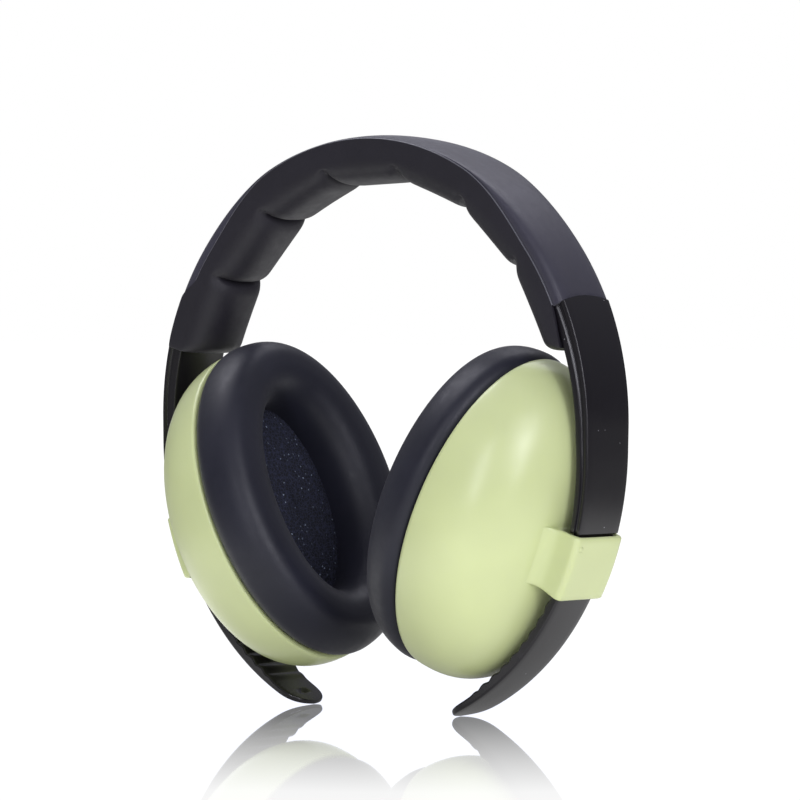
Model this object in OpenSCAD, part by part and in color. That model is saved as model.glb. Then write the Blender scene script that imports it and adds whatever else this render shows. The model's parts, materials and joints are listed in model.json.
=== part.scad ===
// Passive ear defenders for a small child: a padded spring headband whose toothed
// tails run through a bracket on each ear cup.
//
// Frame: +Z up, X from one ear cup to the other, Y from front (-Y) to back (+Y).
// The origin is on the ground under the crown: the pair stands on its two tail tips.
// "Right" is the +X side and "left" the -X side. The left side mirrors the right one.

/* [Headband] */
// Outer radius of the headband curve
band_r = 71; // [66:0.5:80]
// Straight drop between the crown arc and the tail arc
side_drop = 5.7; // [3:0.1:9]
// Angle of the tail tips, measured round the band from the crown
tail_end = 160; // [150:1:162]
// Width of the spring strip inside the padding
strip_w = 14; // [12:0.2:14.4]
// Thickness of the spring strip inside the padding
strip_t = 2.8; // [2:0.1:3]
// Width of the arm where it leaves the padding
arm_top_w = 17; // [15:0.1:17.6]
// Width of the arm at its lower end
arm_end_w = 15.4; // [13:0.1:16]
// Thickness of the arm
arm_t = 4.8; // [4:0.1:5]
// Angle at which the arm leaves the padding
arm_start = 64.4; // [60:0.1:68]
// Angle at which the arm steps down to the tail
arm_end = 106.2; // [103:0.1:106.3]

/* [Tails] */
// Width of the toothed tail
tail_w = 12.8; // [10:0.1:12.8]
// Thickness of the toothed tail
tail_t = 2.2; // [2.2:0.1:3.4]
// How far the tail's outer face lies below the arm's outer face
tail_step = 0.6; // [0.6:0.1:0.8]
// Angle between neighbouring teeth
tooth_pitch = 3.45; // [3:0.05:4]
// Height of a tooth
tooth_h = 0.6; // [0.5:0.05:0.95]

/* [Headband padding] */
// Width of the outer cover sheet
cover_w = 17.8; // [17.4:0.1:18.4]
// Thickness of the outer cover sheet
cover_t = 1.2; // [0.8:0.1:1.2]
// Depth of the cover's folded edges
cover_side = 4.6; // [4:0.1:4.7]
// Width of the padded lining
lining_w = 18.8; // [18:0.1:20]
// Thickness of the band, cover and lining together
padded_t = 12.4; // [10:0.1:14]
// Thickness of the lining's skin
lining_skin = 0.8; // [0.5:0.1:1]
// Angle at which the lining ends
lining_end = 72.4; // [70:0.1:74]
// Angle between the sewn channels of the lining
channel_step = 21.1; // [18:0.1:24]
// Angle of the sewn channel just past the crown, on the right side
channel_shift = 8.2; // [4:0.1:12]

/* [Ear cups] */
// Angle of the cup's axis below the horizontal
cup_lean = 23.4; // [23:0.1:26]
// How far the cup's centre lies below the bracket's
cup_drop = 1; // [0:0.1:1.2]
// Height of the cup's rim
cup_h = 83.4; // [76:0.1:86]
// Width of the cup's rim
cup_w = 60; // [54:0.5:64]
// Depth of the domed shell
dome_d = 26.6; // [22:0.1:26.6]
// Wall thickness of the shell
shell_t = 2; // [1.6:0.1:2.4]
// Distance from the centre of the tail arc to the cup's rim
rim_r = 37.6; // [36:0.1:37.6]
// Depth of the ear cushion
cushion_d = 13.2; // [8:0.1:13.2]
// Width of the opening in the ear cushion
opening_w = 30; // [24:0.5:32]
// Height of the opening in the ear cushion
opening_h = 52; // [44:0.5:54]

/* [Bracket] */
// Half the angle that the bracket covers round the tail arc
bracket_half = 6.4; // [6:0.1:6.4]
// Width of the bracket's loop
bracket_w = 17.4; // [16.4:0.1:17.8]
// Radius of the trunnion bores in the bracket
trunnion_bore_r = 1.65; // [1.62:0.01:1.68]
// Radius of the slider's trunnions
trunnion_r = 1.6; // [1.58:0.01:1.6]

/* [Hidden] */
$fn = 96;
lower_cz = (tail_step - band_r) * cos(tail_end);  // centre height of the tail arc
upper_cz = lower_cz + side_drop;                  // centre height of the crown arc
strip_r = band_r - cover_t - 0.1;        // outer face of the spring strip
lining_r = band_r - padded_t;            // inner face of the lining
lining_edge_r = band_r - arm_t - 0.2;    // where the lining meets the band
pad_w = lining_w - 2 * lining_skin - 0.4;
tail_r = band_r - tail_step;
tail_in_r = tail_r - tail_t;
tooth_r = 1.3;
tip_r = tail_w / 2 + 0.6;
dome_r = rim_r + dome_d;                 // top of the dome, from the tail arc's centre
slot_w = tail_w + 2;                     // inner width of the bracket
slot_top_r = tail_r + 0.6;
slot_floor_r = dome_r + 0.4;
bracket_r = slot_top_r + 1.2;
shoe_w = tail_w + 1.8;
shoe_floor_r = slot_floor_r + 0.55;
shoe_half = 5;
trunnion_at = tail_r - 2.2;              // the slider rocks about this radius
dome_power = 0.93;                       // fullness of the dome up its height
dome_plan_power = 0.84;                  // fullness of the dome across its width
plate_t = 1.4;
plate_x = rim_r + 0.9;                   // outer face of the cushion plate
cushion_x = plate_x - plate_t - 0.1;     // back of the ear cushion
skin_t = 0.8;                            // thickness of the ear cushion's skin
bulge = 1.1;                             // how far the cushion swells past the rim
channel_gap = 1.2;                       // angle between two pads
channels = [for (i = [-3:2]) channel_shift + i * channel_step];
pad_edges = concat([-lining_end + 0.4], channels, [lining_end - 0.4]);
crown_channel = channels[2];             // the left and right linings meet here

// ---- helpers ----

// Turns a section drawn in X (radius) and Y (width) about a centre at height cz.
// Angles run from the crown towards +X. An end at 90 degrees is left unturned, so
// that it meets the straight drop exactly.
module arc_sweep(cz, a0, a1) {
    below = a0 >= 90;
    translate([0, 0, cz])
    rotate([below ? -90 : 90, 0, 0])
    rotate([0, 0, below ? a0 - 90 : 90 - a1])
    rotate_extrude(angle = a1 - a0)
    children();
}

// Carries the section along the band: crown arc, straight drop, tail arc
module band_sweep(a0, a1) {
    if (a0 < 90)
        arc_sweep(upper_cz, a0, min(a1, 90)) children();
    if (a0 < 90 && a1 > 90)
        translate([0, 0, lower_cz]) linear_extrude(side_drop) children();
    if (a1 > 90)
        arc_sweep(lower_cz, max(a0, 90), a1) children();
}

// A bar section between two radii
module bar(r_in, r_out, w) {
    translate([r_in, -w / 2]) square([r_out - r_in, w]);
}

// Places its children in the right cup's frame: +X along the cup's axis,
// outwards, +Z up the cup's height, the origin at the centre of the tail arc
module in_cup() {
    translate([0, 0, lower_cz]) rotate([0, cup_lean, 0]) children();
}

// The same for the cup itself, which hangs a little below the bracket
module in_shell() {
    in_cup() translate([0, 0, -cup_drop]) children();
}

// Turns a section about the tail arc's centre, in the cup's frame
module cup_sweep(half) {
    rotate([90, 0, 0]) rotate([0, 0, -half]) rotate_extrude(angle = 2 * half) children();
}

// Mirrors a right-hand piece to the left side
module left_side() {
    mirror([1, 0, 0]) children();
}

// Skins a stack of ovals, each [x, half width, half height]. A closed stack
// joins its last oval to its first; an open one is capped at both ends.
module oval_loft(rings, closed = false, sides = 40) {
    count = len(rings);
    points = [
        for (r = rings) for (i = [0:sides - 1])
            [r[0], r[1] * sin(360 * i / sides), r[2] * cos(360 * i / sides)]
    ];
    last = closed ? count - 1 : count - 2;
    walls = [
        for (k = [0:last]) for (i = [0:sides - 1])
            let (n = (k + 1) % count, j = (i + 1) % sides)
            each [
                [k * sides + i, k * sides + j, n * sides + j],
                [k * sides + i, n * sides + j, n * sides + i]
            ]
    ];
    caps = closed ? [] : [
        [for (i = [sides - 1:-1:0]) i],
        [for (i = [0:sides - 1]) (count - 1) * sides + i]
    ];
    polyhedron(points = points, faces = concat(walls, caps), convexity = 6);
}

// A ring of the dome at angle t from the rim, drawn in by inset
function dome_ring(t, inset) = [
    rim_r + (dome_d - inset) * pow(sin(t), dome_power),
    (cup_w / 2 - inset) * pow(cos(t), dome_plan_power),
    (cup_h / 2 - inset) * pow(cos(t), dome_power)
];

// A ring of the ear cushion: t runs round the section from the outer edge to the
// opening, and grow is the distance inwards from the cushion's surface. The middle
// of the section is flat, where the cushion seals against the head.
function cushion_ring(t, depth, grow) =
    let (
        mid_w = (cup_w + opening_w) / 4,
        mid_h = (cup_h + opening_h) / 4,
        across_w = (cup_w - opening_w) / 4 + bulge - grow,
        across_h = (cup_h - opening_h) / 4 + bulge - grow,
        c = sign(cos(t)) * pow(abs(cos(t)), 0.7),
        s = min(1, 1.03 * pow(abs(sin(t)), 0.8))
    )
    [cushion_x - depth * s, mid_w + across_w * c, mid_h + across_h * c];

// ---- headband ----

module band_half() {
    band_sweep(0, arm_start + 0.5) bar(strip_r - strip_t, strip_r, strip_w);
    arm();
    tail();
}

// The wide arm narrows towards its lower end
module arm() {
    top_z = upper_cz + band_r * cos(arm_start);
    end_z = lower_cz + band_r * cos(arm_end);
    margin = 9;
    taper = (arm_top_w - arm_end_w) / (top_z - end_z) * margin;
    low_half = (arm_end_w - taper) / 2;
    high_half = (arm_top_w + taper) / 2;
    intersection() {
        band_sweep(arm_start, arm_end) bar(band_r - arm_t, band_r, arm_top_w + 2);
        rotate([90, 0, 90])
        linear_extrude(band_r + 1)
        polygon([
            [-low_half, end_z - margin], [low_half, end_z - margin],
            [high_half, top_z + margin], [-high_half, top_z + margin]
        ]);
    }
}

// The tail has a rounded tip and a row of teeth on its inner face
module tail() {
    tip_angle = tail_end - tip_r / band_r * 180 / PI;
    difference() {
        arc_sweep(lower_cz, arm_end - 0.5, tail_end + 3) bar(tail_in_r, tail_r, tail_w);
        translate([0, 0, lower_cz])
        rotate([0, tip_angle, 0])
        translate([0, 0, tail_in_r - 5])
        difference() {
            translate([1, -tail_w, 0]) cube([2 * tail_w, 2 * tail_w, tail_t + 10]);
            translate([0, 0, -1]) cylinder(r = tip_r, h = tail_t + 12);
        }
    }
    for (a = [arm_end + 2:tooth_pitch:tip_angle - 1])
        translate([0, 0, lower_cz])
        rotate([0, a, 0])
        translate([0, 0, tail_in_r - tooth_h + tooth_r])
        rotate([90, 0, 0])
        cylinder(r = tooth_r, h = tail_w - 2, center = true, $fn = 32);
}

module band_right() {
    color([0.12, 0.11, 0.13]) band_half();
}

module band_left() {
    color([0.12, 0.11, 0.13]) left_side() band_half();
}

// The cover sheet is folded over both edges of the band
module cover_half() {
    band_sweep(0, arm_start - 0.4)
    difference() {
        bar(band_r - cover_side, band_r, cover_w);
        bar(band_r - cover_side - 1, band_r - cover_t, cover_w - 2 * cover_t);
    }
}

module cover_right() {
    color([0.28, 0.27, 0.31]) cover_half();
}

module cover_left() {
    color([0.28, 0.27, 0.31]) left_side() cover_half();
}

// The lining is a soft skin over the pads, open towards the band and closed at
// its lower end. It starts at angle a0 and lies against the arm's inner face.
module lining(a0) {
    difference() {
        arc_sweep(upper_cz, a0, lining_end) bar(lining_r, lining_edge_r, lining_w);
        arc_sweep(upper_cz, a0 - 1, lining_end - 0.6)
        bar(lining_r + lining_skin, lining_edge_r + 1, lining_w - 2 * lining_skin);
    }
}

module lining_right() {
    color([0.13, 0.12, 0.15]) lining(crown_channel + 0.1);
}

module lining_left() {
    color([0.13, 0.12, 0.15]) left_side() lining(0.1 - crown_channel);
}

// Foam pad number i, counted from the left end of the lining
module foam_pad(i) {
    pad_in_r = lining_r + lining_skin + 0.2;
    color([0.3, 0.3, 0.32])
    arc_sweep(upper_cz, pad_edges[i - 1] + channel_gap / 2, pad_edges[i] - channel_gap / 2)
    bar(pad_in_r, lining_edge_r - 0.2, pad_w);
}

// ---- slider and bracket ----

// The slider is a trough that holds the tail from inside and rocks in the bracket
module slider() {
    color([0.16, 0.16, 0.18])
    in_cup() {
        cup_sweep(shoe_half)
        difference() {
            bar(shoe_floor_r, tail_r - 0.2, shoe_w);
            bar(tail_in_r - tooth_h - 0.1, tail_r + 1, tail_w + 0.2);
        }
        for (side = [-1, 1])
            translate([trunnion_at, side * (shoe_w / 2 + 0.3), 0])
            rotate([90, 0, 0])
            cylinder(r = trunnion_r, h = 0.8, center = true);
    }
}

module slider_right() {
    slider();
}

module slider_left() {
    left_side() slider();
}

// The bracket is a loop round the tail on a flared foot that fits the dome
module bracket() {
    foot_in = dome_r - shell_t + 0.9;
    color([0.78, 0.83, 0.6])
    in_cup() {
        difference() {
            cup_sweep(bracket_half)
            difference() {
                polygon([
                    [bracket_r, -bracket_w / 2 + 1], [bracket_r, bracket_w / 2 - 1],
                    [bracket_r - 1, bracket_w / 2], [dome_r + 2, bracket_w / 2],
                    [dome_r, bracket_w / 2 + 1.2], [dome_r - 1.6, bracket_w / 2 + 3.4],
                    [dome_r - 3, bracket_w / 2 + 5.4], [dome_r - 3.8, bracket_w / 2 + 5],
                    [foot_in - 1.2, bracket_w / 2], [foot_in, bracket_w / 4],
                    [foot_in, -bracket_w / 4], [foot_in - 1.2, -bracket_w / 2],
                    [dome_r - 3.8, -bracket_w / 2 - 5], [dome_r - 3, -bracket_w / 2 - 5.4],
                    [dome_r - 1.6, -bracket_w / 2 - 3.4], [dome_r, -bracket_w / 2 - 1.2],
                    [dome_r + 2, -bracket_w / 2], [bracket_r - 1, -bracket_w / 2]
                ]);
                bar(slot_floor_r, slot_top_r, slot_w);
            }
            for (side = [-1, 1])
                translate([trunnion_at, side * (slot_w / 2 + 0.3), 0])
                rotate([90, 0, 0])
                cylinder(r = trunnion_bore_r, h = 0.8, center = true);
        }
    }
}

module bracket_right() {
    bracket();
}

module bracket_left() {
    left_side() bracket();
}

// ---- ear cups ----

module cup_shell() {
    steps = [0, 8, 18, 28, 38, 48, 58, 68, 77, 84];
    inner = [for (i = [len(steps) - 1:-1:0]) dome_ring(steps[i], shell_t)];
    outer = [for (t = steps) dome_ring(t, 0)];
    color([0.8, 0.86, 0.64])
    in_shell() oval_loft(concat(inner, outer));
}

module cup_shell_right() {
    cup_shell();
}

module cup_shell_left() {
    left_side() cup_shell();
}

// The plate closes the shell and carries the ear cushion
module cushion_plate() {
    out_w = cup_w / 2 - shell_t - 0.3;
    out_h = cup_h / 2 - shell_t - 0.3;
    in_w = opening_w / 2 + 1;
    in_h = opening_h / 2 + 1;
    color([0.1, 0.1, 0.11])
    in_shell()
    oval_loft([
        [plate_x, in_w, in_h], [plate_x - plate_t, in_w, in_h],
        [plate_x - plate_t, out_w, out_h], [plate_x, out_w, out_h]
    ], closed = true);
}

module cushion_plate_right() {
    cushion_plate();
}

module cushion_plate_left() {
    left_side() cushion_plate();
}

// The cushion's skin is a soft shell round its foam, open at the back
module ear_cushion() {
    color([0.19, 0.2, 0.24])
    in_shell()
    oval_loft(concat(
        [for (t = [0:15:180]) cushion_ring(t, cushion_d, 0)],
        [for (t = [180:-15:0]) cushion_ring(t, cushion_d - skin_t, skin_t)]
    ), closed = true);
}

module ear_cushion_right() {
    ear_cushion();
}

module ear_cushion_left() {
    left_side() ear_cushion();
}

module cushion_foam() {
    color([0.35, 0.35, 0.37])
    in_shell()
    oval_loft([for (t = [0:20:180]) cushion_ring(t, cushion_d - skin_t - 0.3, skin_t + 0.3)], closed = true);
}

module cushion_foam_right() {
    cushion_foam();
}

module cushion_foam_left() {
    left_side() cushion_foam();
}

// The block of open-cell foam that fills the shell behind the opening
module acoustic_foam() {
    inset = shell_t + 0.6;
    color([0.2, 0.22, 0.28])
    in_shell()
    oval_loft(concat(
        [[plate_x - 0.1, opening_w / 2 + 0.4, opening_h / 2 + 0.4]],
        [[plate_x + 0.5, opening_w / 2 + 0.4, opening_h / 2 + 0.4]],
        [for (t = [14, 30, 46, 60]) dome_ring(t, inset)]
    ), sides = 32);
}

module acoustic_foam_right() {
    acoustic_foam();
}

module acoustic_foam_left() {
    left_side() acoustic_foam();
}

band_right();
band_left();
cover_right();
cover_left();
lining_right();
lining_left();
foam_pad(1);  // foam_pad_1
foam_pad(2);  // foam_pad_2
foam_pad(3);  // foam_pad_3
foam_pad(4);  // foam_pad_4
foam_pad(5);  // foam_pad_5
foam_pad(6);  // foam_pad_6
foam_pad(7);  // foam_pad_7
slider_right();
slider_left();
bracket_right();
bracket_left();
cup_shell_right();
cup_shell_left();
cushion_plate_right();
cushion_plate_left();
ear_cushion_right();
ear_cushion_left();
cushion_foam_right();
cushion_foam_left();
acoustic_foam_right();
acoustic_foam_left();
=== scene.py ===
import json
import math

import bmesh
import bpy
import numpy as np
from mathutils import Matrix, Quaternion, Vector


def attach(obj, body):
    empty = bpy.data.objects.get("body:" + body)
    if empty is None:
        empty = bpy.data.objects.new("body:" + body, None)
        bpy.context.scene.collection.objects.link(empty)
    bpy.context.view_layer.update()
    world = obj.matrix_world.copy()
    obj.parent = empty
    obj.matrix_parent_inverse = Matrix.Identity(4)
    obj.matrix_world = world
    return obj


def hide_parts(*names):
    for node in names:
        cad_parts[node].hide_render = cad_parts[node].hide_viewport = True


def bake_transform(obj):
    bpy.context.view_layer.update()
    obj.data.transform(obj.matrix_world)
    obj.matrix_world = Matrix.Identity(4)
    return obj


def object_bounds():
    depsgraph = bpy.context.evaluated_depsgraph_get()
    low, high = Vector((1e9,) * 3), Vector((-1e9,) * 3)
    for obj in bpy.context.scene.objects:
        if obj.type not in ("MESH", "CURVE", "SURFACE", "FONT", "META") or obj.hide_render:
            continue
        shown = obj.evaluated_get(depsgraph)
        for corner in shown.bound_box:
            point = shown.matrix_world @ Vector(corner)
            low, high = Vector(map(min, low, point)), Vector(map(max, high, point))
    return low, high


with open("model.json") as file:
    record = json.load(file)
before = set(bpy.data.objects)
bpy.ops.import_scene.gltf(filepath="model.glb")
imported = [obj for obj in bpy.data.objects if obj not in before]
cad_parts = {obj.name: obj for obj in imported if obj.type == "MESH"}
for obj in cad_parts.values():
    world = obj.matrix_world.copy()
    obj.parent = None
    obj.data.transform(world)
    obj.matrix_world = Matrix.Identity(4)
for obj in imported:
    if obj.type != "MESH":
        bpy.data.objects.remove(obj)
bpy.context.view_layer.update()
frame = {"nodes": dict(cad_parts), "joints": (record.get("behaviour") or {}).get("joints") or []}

# ---------------------------------------------------------------- measures
# Lengths are in millimetres until a mesh is made, and angles in radians unless a name or
# comment says degrees. The frame's joints place the band's arcs and the cup's axis, and its
# nodes give the sizes.
MM = 0.001
JOINTS = {j["name"]: j for j in frame["joints"]}
CROWN_Z = JOINTS["band_spread"]["pos_m"][2] / MM
TAIL_CZ = JOINTS["right_size"]["pos_m"][2] / MM
PIVOT = Vector(JOINTS["right_cup_tilt"]["pos_m"]) / MM
LEAN = math.atan2(TAIL_CZ - PIVOT.z, PIVOT.x)


def node_points(node):
    """A node's vertices at rest."""
    return np.array([v.co for v in frame["nodes"][node].data.vertices]) / MM


def cup_points(node):
    """A right-hand node's vertices in the cup's frame: X along the cup's axis, outwards,
    Z up the cup, the origin at the centre of the tail arc."""
    x, y, z = node_points(node).T
    z = z - TAIL_CZ
    c, s = math.cos(LEAN), math.sin(LEAN)
    return np.stack([x * c - z * s, y, x * s + z * c], 1)


# The band is an arc over the crown, a short straight and an arc of the same radius below.
# Angles run round it from the crown. Half widths are along Y.
band = node_points("band_right")
BAND_R = band[:, 0].max()
CROWN_CZ = CROWN_Z - BAND_R
DROP = CROWN_CZ - TAIL_CZ
low_angle = np.arctan2(band[:, 0], band[:, 2] - TAIL_CZ)
low_r = np.hypot(band[:, 0], band[:, 2] - TAIL_CZ)
on_arm_face = low_r > BAND_R - 0.2
below_centre = band[:, 2] < TAIL_CZ
ARM_END = low_angle[on_arm_face & below_centre].max()
ARM_TOP_HALF = band[:, 1].max()
at_step = (np.abs(low_angle - ARM_END) < 0.02) & on_arm_face
ARM_END_HALF = band[at_step][:, 1].max()
on_tail = (low_angle > ARM_END + 0.1) & below_centre
TAIL_R, TAIL_HALF = low_r[on_tail].max(), band[on_tail][:, 1].max()
TAIL_END = low_angle[on_tail].max()

# The sheet over the band stands a little wider than its node. The lining reaches further
# round than its nodes, most on the left.
cover = node_points("cover_right")
COVER_END = np.arctan2(cover[:, 0], cover[:, 2] - CROWN_CZ).max()
SHEET_HALF = cover[:, 1].max() + 0.3
lining = node_points("lining_right")
LINING_HALF = lining[:, 1].max()
LINING_R = np.hypot(lining[:, 0], lining[:, 2] - CROWN_CZ).min()
LINING_END = np.arctan2(lining[:, 0], lining[:, 2] - CROWN_CZ).max()
LINING_ENDS = (-LINING_END - math.radians(2.6), LINING_END + math.radians(0.5))

# The cup: the shell's rim and top along its axis, its centre and half sizes, the cushion's
# back and face, the plate behind it and the bracket round the tail. The cushion's opening
# is a lip smaller all round than the plate's.
shell = cup_points("cup_shell_right")
RIM_X, DOME_X = shell[:, 0].min(), shell[:, 0].max()
SHELL_Z = (shell[:, 2].max() + shell[:, 2].min()) / 2
CUP_W, CUP_H = shell[:, 1].max(), shell[:, 2].max() - SHELL_Z
cushion = cup_points("ear_cushion_right")
CUSHION_BACK, CUSHION_FACE = cushion[:, 0].max(), cushion[:, 0].min()
CUSHION_BULGE = cushion[:, 1].max() - CUP_W
plate = cup_points("cushion_plate_right")
PLATE_IN, PLATE_OUT = plate[:, 0].min(), plate[:, 0].max()
PLATE_W, PLATE_H = plate[:, 1].max(), plate[:, 2].max() - SHELL_Z
PLATE_LIP = 1
OPENING_W = np.abs(plate[np.abs(plate[:, 2] - SHELL_Z) < 2.5][:, 1]).min() - PLATE_LIP
OPENING_H = np.abs(plate[np.abs(plate[:, 1]) < 1][:, 2] - SHELL_Z).min() - PLATE_LIP
bracket = cup_points("bracket_right")
bracket_r = np.hypot(bracket[:, 0], bracket[:, 2])
BRACKET_R = bracket_r.max()
BRACKET_HALF = np.abs(np.arctan2(bracket[:, 2], bracket[:, 0])).max()
LOOP_HALF = bracket[bracket_r > BRACKET_R - 1.5][:, 1].max()

# Details that the nodes' extents don't give: thicknesses, the tail's teeth, the lining's sewn channels (in
# degrees) and how far round from the crown the spring strip reaches
ARM_T, TAIL_T, SHELL_T = 4.8, 2.4, 2.0
TOOTH_PITCH, TOOTH_H = math.radians(3.45), 0.5
TEETH_START, TEETH_STOP = ARM_END + math.radians(1.2), TAIL_END - math.radians(8.5)
CHANNEL_SHIFT, CHANNEL_STEP = 8.2, 21.08
CHANNELS = [math.radians(CHANNEL_SHIFT + CHANNEL_STEP * i) for i in range(-3, 3)]
PAD_EDGES = np.array([LINING_ENDS[0]] + CHANNELS + [LINING_ENDS[1]])
BEND_END = math.radians(61)

# ---------------------------------------------------------------- mesh helpers


def make_piece(name, verts, faces, material, sharp=40):
    """A smooth-shaded mesh object from millimetre vertices, its faces turned outwards.
    Edges sharper than that many degrees stay crisp."""
    mesh = bpy.data.meshes.new(name)
    mesh.from_pydata((np.asarray(verts, float) * MM).tolist(), [], faces)
    bm = bmesh.new()
    bm.from_mesh(mesh)
    bmesh.ops.recalc_face_normals(bm, faces=bm.faces)
    bm.to_mesh(mesh)
    bm.free()
    for p in mesh.polygons:
        p.use_smooth = True
    mesh.set_sharp_from_angle(angle=math.radians(sharp))
    mesh.materials.append(material)
    obj = bpy.data.objects.new(name, mesh)
    bpy.context.scene.collection.objects.link(obj)
    return obj


def loft(rings, closed=False):
    """Vertices and faces of a skin over rings, an (n, m, 3) array. A closed loft joins its
    last ring to its first; an open one is capped at both ends."""
    rings = np.asarray(rings, float)
    n, m, _ = rings.shape
    verts = list(rings.reshape(-1, 3))
    faces = []
    for i in range(n if closed else n - 1):
        k = (i + 1) % n
        for j in range(m):
            h = (j + 1) % m
            faces.append((i * m + j, i * m + h, k * m + h, k * m + j))
    if not closed:
        for row in (0, n - 1):
            verts.append(rings[row].mean(0))
            tip = len(verts) - 1
            for j in range(m):
                faces.append((row * m + j, row * m + (j + 1) % m, tip))
    return verts, faces


def tube(path, radius, sides=8):
    """A round skin along a path in the XZ plane."""
    path = np.asarray(path, float)
    rings = []
    up = np.array([0, 1, 0.0])
    for i, p in enumerate(path):
        d = path[min(i + 1, len(path) - 1)] - path[max(i - 1, 0)]
        d /= np.linalg.norm(d)
        u = np.cross(d, up)
        u /= np.linalg.norm(u)
        v = np.cross(d, u)
        a = np.arange(sides) * 2 * math.pi / sides
        rings.append(p + radius * (np.outer(np.cos(a), u) + np.outer(np.sin(a), v)))
    return loft(rings)


def join_meshes(parts):
    """One list of vertices and faces from several."""
    verts, faces = [], []
    for v, f in parts:
        base = len(verts)
        verts += [tuple(p) for p in v]
        faces += [tuple(base + i for i in face) for face in f]
    return verts, faces


def mirror(verts, side):
    """Right-hand points, turned over to the left where side is -1."""
    verts = np.array(verts, float)
    verts[:, 0] *= side
    return verts


def smooth_step(t):
    """0 up to t = 0, 1 from t = 1, and a smooth rise between."""
    t = np.clip(t, 0, 1)
    return t * t * (3 - 2 * t)


# ---------------------------------------------------------------- frames


def arc_at(angle):
    """Distance along the band's outer line from the crown to an angle."""
    return BAND_R * angle + (DROP if angle > math.pi / 2 else 0)


def along_band(s, r, y):
    """The point at distance s along the band, radius r from its arc's centre, width y."""
    s, r, y = np.broadcast_arrays(np.asarray(s, float), r, y)
    quarter = BAND_R * math.pi / 2
    d = np.abs(s)
    theta = np.where(d <= quarter, d / BAND_R, np.maximum((d - DROP) / BAND_R, math.pi / 2))
    centre = CROWN_CZ - np.clip(d - quarter, 0, DROP)
    return np.stack([np.sign(s) * r * np.sin(theta), y, centre + r * np.cos(theta)], -1)


def from_cup(points, lift=0.0):
    """Points from the cup's frame, raised by lift along its Z, to the object's frame."""
    x, y, z = np.moveaxis(np.asarray(points, float), -1, 0)
    z = z + lift
    c, s = math.cos(LEAN), math.sin(LEAN)
    return np.stack([x * c + z * s, y, TAIL_CZ - x * s + z * c], -1)


# ---------------------------------------------------------------- materials
# Textures run in object space, so a scale is in features per metre and a bump's distance
# is in metres.


def shade(color, factor):
    return (color[0] * factor, color[1] * factor, color[2] * factor, 1)


class Nodes:
    """A short way to build a node tree: each call adds nodes and links their inputs."""

    def __init__(self, tree):
        self.tree = tree

    def add(self, kind, inputs=None, **props):
        node = self.tree.nodes.new(kind)
        for key, value in props.items():
            setattr(node, key, value)
        for key, value in (inputs or {}).items():
            if isinstance(value, bpy.types.NodeSocket):
                self.tree.links.new(value, node.inputs[key])
            else:
                node.inputs[key].default_value = value
        return node

    def plug(self, node, key, socket):
        self.tree.links.new(socket, node.inputs[key])

    def noise(self, scale, detail, coords, rough=0.5):
        inputs = {"Scale": scale, "Detail": detail, "Roughness": rough, "Vector": coords}
        return self.add("ShaderNodeTexNoise", inputs).outputs["Fac"]

    def cells(self, scale, coords):
        """Distance to the nearest of many scattered points, and a random number for each."""
        node = self.add("ShaderNodeTexVoronoi", {"Vector": coords, "Scale": scale})
        pick = self.add("ShaderNodeSeparateColor", {0: node.outputs["Color"]}).outputs[0]
        return node.outputs["Distance"], pick

    def cell_walls(self, scale, coords):
        """Distance to the nearest wall between cells."""
        inputs = {"Vector": coords, "Scale": scale}
        node = self.add("ShaderNodeTexVoronoi", inputs, feature="DISTANCE_TO_EDGE")
        return node.outputs["Distance"]

    def math(self, operation, a, b):
        return self.add("ShaderNodeMath", {0: a, 1: b}, operation=operation).outputs[0]

    def remap(self, value, low, high, out_low, out_high):
        inputs = {"Value": value, 1: low, 2: high, 3: out_low, 4: out_high}
        return self.add("ShaderNodeMapRange", inputs).outputs[0]

    def mix(self, fac, a, b):
        return self.add("ShaderNodeMix", {0: fac, 6: a, 7: b}, data_type="RGBA").outputs[2]

    def blend_values(self, fac, a, b):
        return self.add("ShaderNodeMix", {0: fac, 2: a, 3: b}, data_type="FLOAT").outputs[0]

    def mottle(self, color, spread, scale, detail, coords):
        """A colour that drifts by a share of itself either way."""
        drift = self.remap(self.noise(scale, detail, coords), 0.35, 0.65, 0, 1)
        return self.mix(drift, shade(color, 1 - spread), shade(color, 1 + spread))

    def bump(self, height, strength, distance, normal=None):
        inputs = {"Height": height, "Strength": strength, "Distance": distance}
        if normal is not None:
            inputs["Normal"] = normal
        return self.add("ShaderNodeBump", inputs).outputs["Normal"]


def new_material(name):
    mat = bpy.data.materials.new(name)
    mat.use_nodes = True
    n = Nodes(mat.node_tree)
    bsdf = mat.node_tree.nodes["Principled BSDF"]
    coords = n.add("ShaderNodeTexCoord").outputs["Object"]
    return mat, n, bsdf, coords


RUBBED_SHADE = 3.0
DUST_GREY = (0.3, 0.3, 0.32, 1)
SCATTER_M = (0.003, 0.003, 0.0015)


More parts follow.
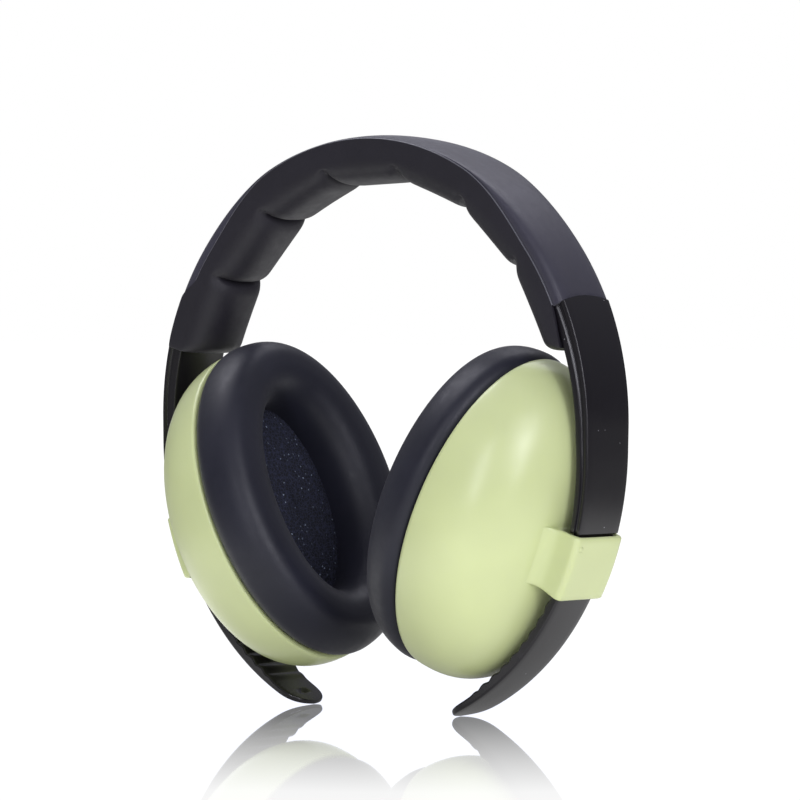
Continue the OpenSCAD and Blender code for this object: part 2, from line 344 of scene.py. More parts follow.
def plastic(name, color, rough, grain, wear=0.0, coat=0.0, soft=0.0, dust=0.0):
    """Moulded plastic: a faint colour drift, uneven gloss and a fine skin. Wear lightens its
    edges, dust adds small specks, coat is a clear coat and soft lets light into it."""
    mat, n, bsdf, coords = new_material(name)
    base = n.mottle(color, 0.04, 40, 2, coords)
    if wear:
        edge = n.add("ShaderNodeNewGeometry").outputs["Pointiness"]
        base = n.mix(n.remap(edge, 0.53, 0.6, 0, wear), base, shade(color, RUBBED_SHADE))
    if dust:
        distance, pick = n.cells(420, coords)
        chosen = n.remap(pick, 0.9, 0.97, 0, dust)
        base = n.mix(n.remap(distance, 0.05, 0.08, chosen, 0), base, DUST_GREY)
    smear = n.noise(170, 4, coords, 0.6)
    skin = n.bump(n.noise(2600, 2, coords), grain, 0.00002)
    wave = n.noise(260, 2, coords, 0.4)
    n.plug(bsdf, "Base Color", base)
    n.plug(bsdf, "Roughness", n.remap(smear, 0.3, 0.7, rough * 0.88, rough * 1.14))
    n.plug(bsdf, "Normal", n.bump(wave, 0.12, 0.00004, skin))
    bsdf.inputs["Coat Weight"].default_value = coat
    bsdf.inputs["Coat Roughness"].default_value = rough * 0.7
    if soft:
        bsdf.inputs["Subsurface Weight"].default_value = soft
        bsdf.inputs["Subsurface Radius"].default_value = SCATTER_M
        bsdf.inputs["Subsurface Scale"].default_value = 1.0
    return mat


def leatherette(name, color, rough, depth, crease, sheen, shine=0.5):
    """Soft coated fabric: pebbled grain of a given depth with painted shade in its grooves, faint creases,
    uneven gloss and a light sheen."""
    mat, n, bsdf, coords = new_material(name)
    grain = n.remap(n.cell_walls(2200, coords), 0.0, 0.12, 0, 1)
    base = n.mottle(color, 0.12, 55, 3, coords)
    # The grooves between the pebbles are painted darker: painted shade.
    base = n.mix(n.remap(grain, 0, 1, 0.25, 0), base, shade(color, 0.6))
    gloss = n.noise(420, 4, coords, 0.6)
    pebbles = n.bump(grain, depth, 0.00004)
    creases = n.noise(300, 5, coords, 0.6)
    n.plug(bsdf, "Base Color", base)
    n.plug(bsdf, "Roughness", n.remap(gloss, 0.3, 0.7, rough * 0.88, rough * 1.12))
    n.plug(bsdf, "Normal", n.bump(creases, crease, 0.0002, pebbles))
    bsdf.inputs["Specular IOR Level"].default_value = shine
    bsdf.inputs["Sheen Weight"].default_value = sheen
    bsdf.inputs["Sheen Roughness"].default_value = 0.5
    return mat


PAINTED_GLINT_BLUE = (0.35, 0.42, 0.55, 1)


def foam(name, color, spark):
    """Open-cell foam with painted shade in its pores and lighter cell walls, and painted glints: here and
    there a cell wall is coloured bright blue and made glossier.
    """
    mat, n, bsdf, coords = new_material(name)
    # The pores are painted darker and the cell walls lighter: painted shade in the hollows.
    pores = n.remap(n.cell_walls(1100, coords), 0, 0.2, 1, 0)
    base = n.mix(pores, shade(color, 0.35), shade(color, 1.6))
    # Here and there a cell wall gets a bright blue base colour: painted glints.
    distance, pick = n.cells(1500, coords)
    near = n.remap(distance, 0.25, 0.4, 1, 0)
    painted_glint = n.math("MULTIPLY", n.remap(pick, 0.93, 0.97, 0, spark), near)
    coarse = n.bump(pores, 0.8, 0.0003)
    n.plug(bsdf, "Base Color", n.mix(painted_glint, base, PAINTED_GLINT_BLUE))
    n.plug(bsdf, "Roughness", n.remap(painted_glint, 0, 1, 0.85, 0.3))
    n.plug(bsdf, "Normal", n.bump(n.noise(500, 4, coords, 0.7), 0.5, 0.0004, coarse))
    return mat


BLACK_GLOSS = plastic("band_plastic", (0.0075, 0.0065, 0.009), 0.24, 0.05, wear=0.35, dust=0.8)
BLACK_SATIN = plastic("slider_plastic", (0.009, 0.009, 0.011), 0.4, 0.2)
LIME = plastic("cup_plastic", (0.62, 0.69, 0.345), 0.34, 0.06, coat=0.25, soft=0.1)
COVER = leatherette(
    "cover_leatherette", (0.036, 0.034, 0.052), 0.42, depth=0.2, crease=0.04, sheen=0.1
)
# Three times lighter than the cover: a painted highlight where the sheet's edge catches the light.
PIPING_PAINTED_HIGHLIGHT = leatherette(
    "piping_painted_highlight", (0.11, 0.11, 0.13), 0.35, depth=0.05, crease=0.0, sheen=0.3
)
LINING = leatherette(
    "lining_leatherette", (0.013, 0.0115, 0.018), 0.5, depth=0.3, crease=0.12, sheen=0.05, shine=0.42
)
CUSHION = leatherette(
    "cushion_leatherette", (0.011, 0.0115, 0.021), 0.46, depth=0.15, crease=0.03, sheen=0.05, shine=0.38
)
FOAM = foam("cup_foam", (0.018, 0.021, 0.044), 0.9)

# ---------------------------------------------------------------- arms and tails


def bar_section(r_in, r_out, half, c_out, c_in, groove=0.0):
    """A closed bar section as (r, y) points: a slightly crowned outer face, corners of
    radius c_out outside and c_in inside, and a shallow groove along both sides."""
    crown, face_points = 0.12, 9
    groove_at, groove_wide = 0.42, 0.17
    y = np.linspace(-(half - c_out), half - c_out, face_points)
    right = [(r_out - crown * (v / half) ** 2, v) for v in y]
    arc = np.linspace(0, math.pi / 2, 6)[1:]
    low = r_out - crown
    right += [(low - c_out * (1 - math.cos(a)), half - c_out * (1 - math.sin(a))) for a in arc]
    for f in np.linspace(0, 1, 25)[1:]:
        r = low - c_out + (r_in + c_in - low + c_out) * f
        dip = groove * math.exp(-(((f - groove_at) / groove_wide) ** 6))
        right.append((r, half - dip))
    right += [(r_in + c_in * (1 - math.sin(a)), half - c_in * (1 - math.cos(a))) for a in arc]
    side = right[face_points:]
    inner = [(r_in, v) for v in np.linspace(half - c_in, -(half - c_in), 15)[1:-1]]
    left = [(r, -v) for r, v in reversed(side)]
    return np.array(right + inner + left)


def tooth(angle):
    """How far a tooth stands proud of the tail's inner face at an angle. The first tooth
    starts at once and the last one fades out."""
    crest_power = 0.75
    wave = 0.5 - 0.5 * math.cos(2 * math.pi * (angle - TEETH_START) / TOOTH_PITCH)
    fade_out = smooth_step((TEETH_STOP - angle) / TOOTH_PITCH)
    fade_in = smooth_step((angle - TEETH_START) / 0.02)
    return TOOTH_H * wave**crest_power * float(fade_out * fade_in)


def arm_rings():
    """The arm, from inside the padding to its lower end. Where it leaves the padding its
    face steps up to lie level with the sheet, along the sheet's arched edge. Further down
    it grows thinner and narrower."""
    rings = []
    edge, end = arc_at(COVER_END), arc_at(ARM_END)
    z_top = CROWN_CZ + BAND_R * math.cos(COVER_END)
    z_end = TAIL_CZ + BAND_R * math.cos(ARM_END)
    hidden, arch_length, chamfer = 8, 6.0, 0.4
    sunk, pinched = 2.3, 0.9
    swell, thinning, narrowing = 0.3, 1.5, 0.35
    c_out, c_in, groove = 0.35, 0.6, 0.55
    steps = list(np.linspace(edge - hidden, edge - 0.35, 12))
    steps += [edge - 0.1, edge + 0.1, edge + 0.35]
    steps += list(np.linspace(edge + 0.8, end - chamfer, 50))
    steps += [end - 0.25, end - 0.08, end]
    for s in steps:
        z = along_band(s, BAND_R, 0)[2]
        f = min(max((z_top - z) / (z_top - z_end), 0), 1)
        half = ARM_TOP_HALF + (ARM_END_HALF - ARM_TOP_HALF) * f - narrowing * f
        r_in = BAND_R - ARM_T + thinning * f
        covered = float(smooth_step((edge + 0.1 - s) / 0.2))
        cut = max(0.0, s - (end - chamfer))
        r_out = BAND_R + swell - sunk * covered - 0.85 * cut
        half = half - 0.5 * cut - pinched * covered
        section = bar_section(r_in, r_out, half, c_out, c_in, groove)
        follow = max(0.0, 1 - abs(s - edge) / arch_length)
        arch = (cover_reach(section[:, 1]) - COVER_END) * BAND_R * follow
        rings.append(along_band(s + arch, section[:, 0], section[:, 1]))
    return rings


def tail_rings():
    """The tail, from the arm's end to its rounded tip: toothed inside, tapering in its last
    stretch, with a small recess near the tip."""
    rings = []
    start, stop = arc_at(ARM_END), arc_at(TAIL_END) - 0.9
    outer = TAIL_R + 0.4
    tip, tip_power, tip_rise = 7.5, 2.4, 0.25
    taper, taper_thinning, tip_thinning = 22, 0.7, 0.4
    recess_at, recess_half, recess_wide, recess_deep = stop - 4.6, 0.9, 1.5, 0.6
    steps = list(np.arange(start, stop - tip, 0.3))
    steps += [stop - tip + tip * math.sin(a) for a in np.linspace(0, 1.5, 22)]
    for s in steps:
        angle = (s - DROP) / BAND_R
        q = max(0.0, (s - (stop - tip)) / tip)
        half = TAIL_HALF * (1 - q**tip_power) ** (1 / tip_power)
        thin = taper_thinning * float(smooth_step((s - (stop - taper)) / taper)) + tip_thinning * q**3
        r_in = outer - TAIL_T + thin - tooth(angle)
        corner = min(0.5, half * 0.45, (outer - r_in) * 0.35)
        section = bar_section(r_in, outer - tip_rise * q**4, half, corner, corner)
        inner = section[:, 0] < r_in + 0.05
        along = math.exp(-(((s - recess_at) / recess_half) ** 6))
        recess = recess_deep * along * np.exp(-((section[:, 1] / recess_wide) ** 6))
        section[:, 0] += np.where(inner, recess, 0)
        rings.append(along_band(s, section[:, 0], section[:, 1]))
    return rings


def build_arm(name, side):
    verts, faces = loft(arm_rings() + tail_rings())
    return make_piece(name, mirror(verts, side), faces, BLACK_GLOSS, sharp=35)


def build_strip():
    """The spring strip inside the padding, from arm to arm."""
    s_end = arc_at(BEND_END)
    deepest, shallowest, half, corner = 4.1, 2.3, 7.0, 0.3
    section = bar_section(BAND_R - deepest, BAND_R - shallowest, half, corner, corner)
    rings = [along_band(s, section[:, 0], section[:, 1]) for s in np.linspace(-s_end, s_end, 81)]
    verts, faces = loft(rings)
    return make_piece("spring_strip", verts, faces, BLACK_SATIN)


# ---------------------------------------------------------------- cover and piping


def seam_depth(angle):
    """How far the sheet's edges turn down: hardly at the crown, round the arms' sides lower."""
    at_crown, deeper = 0.5, 2.7
    start, run = math.radians(27), math.radians(24)
    return at_crown + deeper * float(smooth_step((abs(angle) - start) / run))


def cover_section(angle):
    """The sheet's section: flat over the padding, one smooth curve at each edge. Its middle
    puffs up at the crown, and all of it stands proud lower down."""
    depth, power = seam_depth(angle), 4.6
    crown_puff, crown_wide = 0.6, math.radians(13)
    low_swell, low_start, low_run = 0.3, math.radians(12), math.radians(20)
    sheet, hem = 0.5, 0.3
    u = np.linspace(-math.pi / 2, math.pi / 2, 65)
    across = np.sign(np.sin(u)) * np.abs(np.sin(u)) ** (2 / power)
    top = np.abs(np.cos(u)) ** (2 / power)
    puff = crown_puff * math.exp(-((angle / crown_wide) ** 2)) * (1 - across**2)
    swell = low_swell * float(smooth_step((abs(angle) - low_start) / low_run))
    outer_r = BAND_R - depth + depth * top + puff + swell
    inner_r = BAND_R - depth - hem + (depth - sheet) * top
    outer = np.stack([outer_r, SHEET_HALF * across], 1)
    inner = np.stack([inner_r, (SHEET_HALF - sheet) * across], 1)
    return np.concatenate([outer, inner[::-1]])


def cover_reach(y):
    """Where the sheet ends at width y: cut as a shallow arch, higher in the middle."""
    overlap, arch = math.radians(0.35), math.radians(1.2)
    return COVER_END + overlap - arch * np.clip(1 - (y / SHEET_HALF) ** 2, 0, 1)


def build_cover():
    rings = []
    for t in np.linspace(-1, 1, 181):
        section = cover_section(t * COVER_END)
        reach = cover_reach(section[:, 1])
        rings.append(along_band(t * reach * BAND_R, section[:, 0], section[:, 1]))
    verts, faces = loft(rings)
    return make_piece("headband_cover", verts, faces, COVER, sharp=50)


def build_piping():
    """The rolled edge where the cover is sewn to the lining, front and back, in a lighter leatherette that
    paints a highlight along the seam.
    """
    radius = 0.2
    reach = float(cover_reach(SHEET_HALF)) - math.radians(0.3)
    angles = np.linspace(-reach, reach, 240)
    parts = []
    for sign in (-1, 1):
        path = [along_band(a * BAND_R, BAND_R - seam_depth(a), sign * SHEET_HALF) for a in angles]
        parts.append(tube(path, radius))
    verts, faces = join_meshes(parts)
    return make_piece("cover_piping", verts, faces, PIPING_PAINTED_HIGHLIGHT, sharp=80)


# ---------------------------------------------------------------- padded lining


def lining_stations():
    """Angles round the band, closer together at the sewn channels."""
    t = np.linspace(-1, 1, 41)[:-1]
    stations = []
    for a, b in zip(PAD_EDGES, PAD_EDGES[1:]):
        stations += list((a + b) / 2 + (b - a) / 2 * np.sin(t * math.pi / 2))
    return np.array(stations + [LINING_ENDS[1]])


def lining_edge(angle):
    """How far in from the band's outer face the lining's edges reach up its sides. At the
    right end they drop away from the cover, and at the left end they rise over the arm."""
    right_drop, left_rise, left_run = 1.5, 2.4, 0.1
    past_right = max(0.0, (angle - COVER_END) / (LINING_ENDS[1] - COVER_END))
    past_left = float(smooth_step((-angle - COVER_END + left_run) / left_run))
    return seam_depth(angle) + right_drop * past_right - left_rise * past_left


def pad_r(angle):
    """Radius of the pads' inner face: straight from channel to channel, though never much
    further in than at its ends, and thinner over the crown."""
    crown_thinner, crown_wide, most_inwards = 1.6, math.radians(38), 1.15
    k = int(np.clip(np.searchsorted(PAD_EDGES, angle) - 1, 0, len(PAD_EDGES) - 2))
    mid, half_angle = (PAD_EDGES[k] + PAD_EDGES[k + 1]) / 2, (PAD_EDGES[k + 1] - PAD_EDGES[k]) / 2
    corner_r = LINING_R + 0.3 + crown_thinner * math.exp(-((angle / crown_wide) ** 4))
    chord_r = corner_r * math.cos(half_angle) / math.cos(angle - mid)
    return max(chord_r, corner_r - most_inwards)


def channel_dent(angle, y, leans, gathered, folded):
    """How deep the sewn channels dent the pads at widths y, and how much they pinch them
    narrower. A channel is a soft dip with a fine fold in it, and leans a little."""
    dip, dip_wide, fold, fold_wide, pinch_wide = 1.05, 1.7, 1.7, 0.5, 2.5
    dent, pinch = np.zeros_like(y), 0.0
    for channel, lean in zip(CHANNELS, leans):
        d = (angle - channel) * LINING_R - lean * y / LINING_HALF
        soft_dip = dip * gathered * np.exp(-((d / dip_wide) ** 2))
        dent += soft_dip + fold * folded * np.exp(-((d / fold_wide) ** 2))
        pinch += math.exp(-(((angle - channel) * LINING_R / pinch_wide) ** 2))
    return dent, pinch


def build_lining():
    """The padded lining: seven puffed pads with a sewn channel between neighbours. Its
    edges reach up the sides of the band, to the cover."""
    bed_r, wall = BAND_R - 4.9, LINING_HALF - 0.6
    end_round, end_power, pinch_share = 3.8, 2.4, 0.03
    u = np.linspace(0, math.pi, 61)
    power = 2 / 2.4
    across = np.sign(np.cos(u)) * np.abs(np.cos(u)) ** power
    deep = np.abs(np.sin(u)) ** power
    front = across < 0
    folded = np.where(front, smooth_step((deep - 0.55) / 0.35), 1.0)
    gathered = np.where(front, smooth_step((deep - 0.2) / 0.35), 1.0)
    leans = np.random.default_rng(7).uniform(-0.5, 0.5, len(CHANNELS))
    rings = []
    for a in lining_stations():
        end = min(LINING_ENDS[1] - a, a - LINING_ENDS[0]) * LINING_R
        round_off = math.sqrt(max(0.0, 1 - max(0.0, 1 - end / end_round) ** end_power))
        y = LINING_HALF * across
        dent, pinch = channel_dent(a, y, leans, gathered, folded)
        depth = (bed_r - pad_r(a)) * deep - dent
        ring_r = bed_r - depth * (0.12 + 0.88 * round_off)
        y = y * (1 - pinch_share * pinch * deep) * (0.96 + 0.04 * round_off)
        top_r = BAND_R - lining_edge(a)
        rise = [bed_r + (top_r - bed_r) * f for f in np.linspace(0, 1, 6)[1:]]
        first, last = [(r, y[0]) for r in rise], [(r, y[-1]) for r in rise]
        bed = [(top_r, -wall)] + [(bed_r, v) for v in np.linspace(-wall, wall, 9)] + [(top_r, wall)]
        section = np.array(first[::-1] + list(zip(ring_r, y)) + last + bed)
        rings.append(along_band(a * BAND_R, section[:, 0], section[:, 1]))
    verts, faces = loft(rings)
    return make_piece("headband_lining", verts, faces, LINING, sharp=70)


# ---------------------------------------------------------------- ear cups
# A cup's rings are centred on the shell's axis. SHELL_Z lifts them to the shell's place.
DOME_POWER, PLAN_POWER = 0.81, 0.84


def oval(x, w, h, sides=144):
    a = np.arange(sides) * 2 * math.pi / sides
    return np.stack([np.full(sides, x), w * np.sin(a), h * np.cos(a)], 1)


def dome_ring(t, inset=0.0):
    """The dome's oval at t, from its rim (0) to its top (pi / 2)."""
    c, s = max(math.cos(t), 0), math.sin(t) ** DOME_POWER
    w, h = (CUP_W - inset) * c**PLAN_POWER, (CUP_H - inset) * c**DOME_POWER
    return oval(RIM_X + (DOME_X - RIM_X - inset) * s, w, h)


def dome_r(y, phi):
    """Distance from the tail arc's centre to the dome's surface at width y, angle phi. The
    inner loop halves in on the dome's ring that passes through the point."""
    r = np.full(np.shape(y), DOME_X)
    for _ in range(6):
        z = r * np.sin(phi) - SHELL_Z
        low, high = np.full(np.shape(y), 1e-4), np.full(np.shape(y), 1.0)
        for _ in range(30):
            c = (low + high) / 2
            outside = (y / CUP_W / c**PLAN_POWER) ** 2 + (z / CUP_H / c**DOME_POWER) ** 2 > 1
            low, high = np.where(outside, c, low), np.where(outside, high, c)
        r = (RIM_X + (DOME_X - RIM_X) * np.sqrt(1 - c * c) ** DOME_POWER) / np.cos(phi)
    return r


def build_shell(name, side):
    """The domed shell with a rounded lip at its rim."""
    lip_proud = 0.5
    outer = [dome_ring(t) for t in np.linspace(0.02, math.pi / 2 - 0.02, 46)]
    inner = [dome_ring(t, SHELL_T) for t in np.linspace(math.pi / 2 - 0.03, 0.02, 24)]
    lip = []
    for a in np.linspace(0, math.pi, 9)[1:-1]:
        inset = SHELL_T / 2 * (1 - math.cos(a))
        lip.append(oval(RIM_X + lip_proud * (1 - math.sin(a)), CUP_W - inset, CUP_H - inset))
    verts, faces = loft(inner + lip[::-1] + outer)
    return make_piece(name, mirror(from_cup(verts, SHELL_Z), side), faces, LIME, sharp=60)


def cushion_section(t):
    """Depth share and sideways share of the cushion's section, from its outer edge
    (t = 0) over the face to the opening (t = pi)."""
    c, s = math.cos(t), math.sin(t)
    if c > 0:
        return abs(s) ** 0.8, abs(c) ** 0.72
    return abs(s) ** 0.72, -(abs(c) ** 0.95)


def build_cushion(name, side):
    """The ear cushion: a soft oval ring, tucked in where it meets the shell."""
    tuck_deep, tuck_run = 1.6, 0.28
    depth = CUSHION_BACK - CUSHION_FACE
    mid_w, mid_h = (CUP_W + OPENING_W) / 2, (CUP_H + OPENING_H) / 2
    half_w = (CUP_W - OPENING_W) / 2 + CUSHION_BULGE
    half_h = (CUP_H - OPENING_H) / 2 + 0.4 * CUSHION_BULGE
    rings = []
    for t in np.linspace(0, math.pi, 49):
        s, c = cushion_section(t)
        tuck = tuck_deep * max(0.0, 1 - s / tuck_run) ** 2 if c > 0 else 0.0
        x = CUSHION_BACK - depth * s
        rings.append(oval(x, mid_w + half_w * c - tuck, mid_h + half_h * c - tuck))
    for f in np.linspace(0, 1, 8)[1:-1]:
        c = -1 + 2 * f
        rings.append(oval(CUSHION_BACK + 0.02, mid_w + half_w * c * 0.9, mid_h + half_h * c * 0.9))
    verts, faces = loft(rings, closed=True)
    return make_piece(name, mirror(from_cup(verts, SHELL_Z), side), faces, CUSHION, sharp=80)


def build_plate(name, side):
    """The flat oval ring behind the cushion, with softened edges."""
    in_w, in_h = OPENING_W + PLATE_LIP, OPENING_H + PLATE_LIP
    section = []
    for a in np.linspace(0, 2 * math.pi, 33)[:-1]:
        c, s = math.cos(a), math.sin(a)
        f = 0.5 + 0.5 * np.sign(c) * abs(c) ** 0.15
        x = (PLATE_IN + PLATE_OUT) / 2 + (PLATE_OUT - PLATE_IN) / 2 * np.sign(s) * abs(s) ** 0.5
        section.append(oval(x, in_w + (PLATE_W - in_w) * f, in_h + (PLATE_H - in_h) * f))
    verts, faces = loft(section, closed=True)
    return make_piece(name, mirror(from_cup(verts, SHELL_Z), side), faces, BLACK_SATIN, sharp=80)


def build_foam(name, side):
    """The foam block behind the opening, softly crowned, with an uneven cut surface. It
    fills the shell behind the plate."""
    crown, turned_in, unevenness, clearance = 0.9, 0.5, 0.05, 0.6
    rng = np.random.default_rng(11)
    face_x = PLATE_IN - 0.9
    w, h = OPENING_W + 0.1, OPENING_H + 0.1
    rings = []
    for f in np.linspace(0.02, 1, 60):
        ring = oval(face_x - crown * (1 - f**2) + turned_in * f**10, w * f, h * f)
        ring[:, 0] += rng.normal(0, unevenness, len(ring)) * (f < 0.97)
        rings.append(ring)
    rings.append(oval(PLATE_OUT + 0.4, w, h))
    rings += [dome_ring(t, SHELL_T + clearance) for t in (0.3, 0.6, 0.9, 1.2)]
    verts, faces = loft(rings)
    return make_piece(name, mirror(from_cup(verts, SHELL_Z), side), faces, FOAM, sharp=180)


# ---------------------------------------------------------------- brackets


def bracket_outline(phi, trim):
    """The bracket's outer outline as (r, y) points at angle phi round the tail arc: a
    rounded top, straight sides down to the knee, and a foot that flares into the dome."""
    half, top = LOOP_HALF - trim, BRACKET_R - trim
    corner, knee, flare = 1.5, 67.0, 3.2
    arc = np.linspace(0, math.pi / 2, 7)[1:]
    side = [(top, v) for v in np.linspace(0, half - corner, 7)[1:]]
    side += [(top - corner * (1 - math.cos(a)), half - corner * (1 - math.sin(a))) for a in arc]
    side += [(r, half) for r in np.linspace(top - corner, knee, 7)[1:]]
    q = np.linspace(0, 1, 15)[1:]
    y = half + (flare + trim) * q**1.7
    start = knee - float(dome_r(np.array([half]), phi)[0])
    side += list(zip(dome_r(y, phi) + start * (1 - q) ** 2.1 - 0.12 * q**8, y))
    under = np.linspace(y[-1] - 0.3, 0, 12)
    side += list(zip(dome_r(under, phi) - 0.9, under))
    side = np.array(side)
    return np.concatenate([[(top, 0.0)], side, side[:-1][::-1] * (1, -1)])


def bracket_slot(outer, trim):
    """The slot for the tail: a rounded rectangle with one point for each of the outline's."""
    low, high = DOME_X + 0.4 - trim * 0.4, TAIL_R + 1.05 + trim * 0.3
    half = TAIL_HALF + 0.9 + trim * 0.4
    mid, tall = (low + high) / 2, (high - low) / 2
    v = outer - (mid, 0)
    angle = np.arctan2(v[:, 1] / half, v[:, 0] / tall)
    c, s = np.cos(angle), np.sin(angle)
    stretch = (np.abs(c) ** 9 + np.abs(s) ** 9) ** (-1 / 9)
    return np.stack([mid + tall * c * stretch, half * s * stretch], 1)


def bracket_pip():
    """The small round pip on the bracket's outer face."""
    phi, at_y, radius, base, height = math.radians(4.7), -6.6, 0.8, 0.3, 0.75
    ring = np.arange(20) * 2 * math.pi / 20
    rings = []
    for a in np.linspace(0.05, math.pi / 2, 7):
        r, wide = BRACKET_R - base + height * math.cos(a), radius * math.sin(a)
        x = np.full(20, r) * math.cos(phi) - 0.02
        rings.append(np.stack([x, at_y + wide * np.cos(ring), r * math.sin(phi) + wide * np.sin(ring)], 1))
    return loft(rings)


def build_bracket(name, side):
    """The loop that carries the cup on the tail, on a foot that flares into the dome. Trim
    draws the outline in and opens the slot, to round both ends."""
    edge, bevel = 0.55, 0.16
    low, high = -BRACKET_HALF * BRACKET_R, BRACKET_HALF * BRACKET_R + 0.75
    stations = [(low, edge), (low + bevel, edge * 0.42), (low + edge, 0)]
    stations += [(v, 0) for v in np.linspace(low + edge, high - edge, 16)[1:-1]]
    stations += [(high - edge, 0), (high - bevel, edge * 0.42), (high, edge)]
    outers, slots = [], []
    for length, trim in stations:
        phi = length / BRACKET_R
        outer = bracket_outline(phi, trim)
        for loop, out in ((outer, outers), (bracket_slot(outer, trim), slots)):
            r, y = loop.T
            out.append(np.stack([r * math.cos(phi), y, r * math.sin(phi)], 1))
    verts, faces = join_meshes([loft(outers + slots[::-1], closed=True), bracket_pip()])
    return make_piece(name, mirror(from_cup(verts), side), faces, LIME, sharp=45)


# ---------------------------------------------------------------- build the object

# Each cup's pieces: builder, name, material slot and the nodes it stands for
CUP_PIECES = (
    (build_shell, "dome", "cup_plastic", ("cup_shell",)),
    (build_bracket, "bracket_loop", "cup_plastic", ("bracket",)),
    (build_cushion, "seal_cushion", "cushion_leatherette", ("ear_cushion", "cushion_foam")),
    (build_plate, "seal_plate", "slider_plastic", ("cushion_plate",)),
    (build_foam, "foam_insert", "cup_foam", ("acoustic_foam",)),
)

for which, side in (("right", 1), ("left", -1)):
    arm = build_arm(f"arm_{which}", side)
    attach(arm, f"{which}_side")
    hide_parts(f"band_{which}")
    for build, name, slot, nodes in CUP_PIECES:
        piece = build(f"{name}_{which}", side)
        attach(piece, f"{which}_cup")
        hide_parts(*[f"{node}_{which}" for node in nodes])
    slider = frame["nodes"][f"slider_{which}"]
    slider.data.materials.clear()
    slider.data.materials.append(BLACK_SATIN)

strip = build_strip()
headband_cover = build_cover()
piping = build_piping()
padding = build_lining()
for piece, slot in (
    (strip, "band_plastic"),
    (headband_cover, "cover_leatherette"),
    (piping, "cover_leatherette"),
    (padding, "lining_leatherette"),
):
    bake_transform(piece)
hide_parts("cover_right", "cover_left")
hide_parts("lining_right", "lining_left", *[f"foam_pad_{i}" for i in range(1, 8)])

# ---------------------------------------------------------------- stage, light, camera
# Everything from here on is in metres.
VIEW_AZIMUTH = math.radians(41.87)
CENTRE = (0, 0, 0.07)


def floor_material():
    """A white acrylic floor. The camera sees it glow evenly and mirror the object near its feet;
    everything else sees only its glow, brightest in a ring round the object: a painted bounce light that
    glows though the floor is no lamp, dimmed under the object as a painted shadow."""
    mat = bpy.data.materials.new("floor")
    mat.use_nodes = True
    tree = mat.node_tree
    tree.nodes.clear()
    n = Nodes(tree)
    coords = n.add("ShaderNodeTexCoord").outputs["Object"]
    away = n.add("ShaderNodeVectorMath", {0: coords}, operation="LENGTH").outputs["Value"]
    camera = n.add("ShaderNodeLightPath").outputs["Is Camera Ray"]
    near = n.remap(away, 0.03, 0.2, 0.85, 0.15)
    far = n.remap(away, 0.2, 0.4, 0.0, 0.15)
    mirrored = n.math("MULTIPLY", n.math("SUBTRACT", near, far), camera)
    # What the object sees: painted bounce light, dimmed near the object as a painted shadow.
    inner = n.remap(away, 0.03, 0.1, 0.4, 1.3)
    outer = n.remap(away, 0.15, 0.26, 1.0, 0.25)
    level = n.blend_values(camera, n.math("MULTIPLY", inner, outer), 1.08)
    gloss = n.add("ShaderNodeBsdfGlossy", {"Color": (0.93, 0.96, 1, 1), "Roughness": 0.02})
    glow = n.add("ShaderNodeEmission", {"Color": (1, 1, 1, 1), "Strength": level})
    mix = n.add("ShaderNodeMixShader", {0: mirrored, 1: glow.outputs[0], 2: gloss.outputs[0]})
    n.add("ShaderNodeOutputMaterial", {"Surface": mix.outputs[0]})
    return mat


def build_floor():
    """A wide square just under the object."""
    half, gap = 6.0, 0.00005
    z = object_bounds()[0].z - gap
    mesh = bpy.data.meshes.new("floor")
    corners = [(-half, -half, z), (half, -half, z), (half, half, z), (-half, half, z)]
    mesh.from_pydata(corners, [], [(0, 1, 2, 3)])
    mesh.materials.append(floor_material())
    floor = bpy.data.objects.new("floor", mesh)
    bpy.context.scene.collection.objects.link(floor)


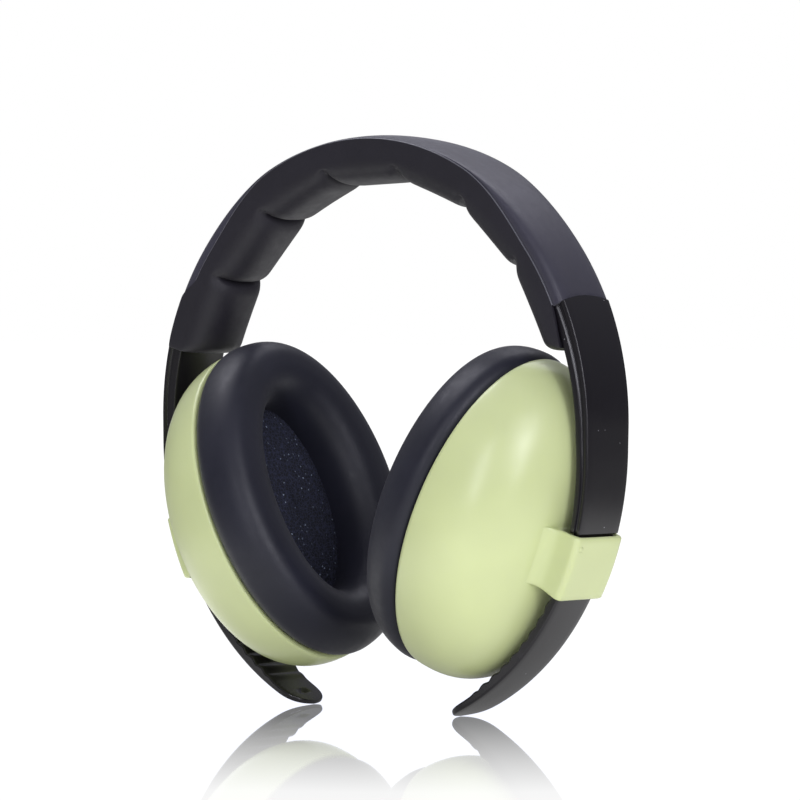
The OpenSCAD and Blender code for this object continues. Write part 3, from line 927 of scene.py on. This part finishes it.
def build_world():
    """White to the camera and straight behind the object, a dim studio elsewhere."""
    world = bpy.data.worlds.new("studio")
    bpy.context.scene.world = world
    world.use_nodes = True
    tree = world.node_tree
    tree.nodes.clear()
    n = Nodes(tree)
    camera = n.add("ShaderNodeLightPath").outputs["Is Camera Ray"]
    coords = n.add("ShaderNodeTexCoord").outputs["Generated"]
    height = n.add("ShaderNodeSeparateXYZ", {0: coords}).outputs[2]
    level = n.remap(height, 0.05, 0.9, 0.14, 0.42)
    behind = (-math.sin(VIEW_AZIMUTH), math.cos(VIEW_AZIMUTH), 0)
    aim = n.add("ShaderNodeVectorMath", {0: coords, 1: behind}, operation="DOT_PRODUCT").outputs["Value"]
    lit = n.blend_values(n.remap(aim, 0.955, 0.99, 0.0, 1.0), level, 1.2)
    dim = n.add("ShaderNodeBackground", {"Color": (0.9, 0.9, 1, 1), "Strength": lit})
    white = n.add("ShaderNodeBackground", {"Color": (1, 1, 1, 1), "Strength": 1.0})
    mix = n.add("ShaderNodeMixShader", {0: camera, 1: dim.outputs[0], 2: white.outputs[0]})
    n.add("ShaderNodeOutputWorld", {"Surface": mix.outputs[0]})


def area_light(name, location, size, power):
    """A rectangular softbox aimed at the middle of the object."""
    data = bpy.data.lights.new(name, "AREA")
    data.shape = "RECTANGLE"
    data.size, data.size_y = size
    data.energy = power
    data.color = (0.92, 0.92, 1)
    obj = bpy.data.objects.new(name, data)
    obj.location = location
    obj.rotation_euler = (Vector(CENTRE) - Vector(location)).to_track_quat("-Z", "Y").to_euler()
    bpy.context.scene.collection.objects.link(obj)


def build_camera():
    """A long lens in front of the object and to its right, hardly higher than its middle."""
    azimuth, elevation, roll = VIEW_AZIMUTH, math.radians(1.29), math.radians(0.35)
    distance, lens = 1.215, 219.7
    target = Vector((0.004, 0, (CROWN_Z - 65.3) * MM))
    back = Vector((
        math.sin(azimuth) * math.cos(elevation),
        -math.cos(azimuth) * math.cos(elevation),
        math.sin(elevation),
    ))
    data = bpy.data.cameras.new("camera")
    data.lens, data.sensor_width = lens, 36
    data.clip_start, data.clip_end = 0.05, 50
    camera = bpy.data.objects.new("camera", data)
    camera.location = target + back * distance
    facing = (-back).to_track_quat("-Z", "Y") @ Quaternion((0, 0, 1), roll)
    camera.rotation_euler = facing.to_euler()
    bpy.context.scene.collection.objects.link(camera)
    bpy.context.scene.camera = camera


build_floor()
build_world()
area_light("right_softbox", (0.8, -0.42, 0.52), (0.45, 0.6), 3.0)
area_light("left_softbox", (-0.5, -0.12, 0.95), (0.5, 0.5), 4.0)
area_light("top_softbox", (-0.2, 0.55, 0.97), (0.7, 0.4), 2.2)
area_light("left_strip", (0.36, -0.98, 0.3), (0.12, 0.6), 2.3)
area_light("right_strip", (0.94, -0.46, 0.3), (0.12, 0.6), 2.3)
build_camera()
bpy.context.scene.view_settings.view_transform = "Standard"
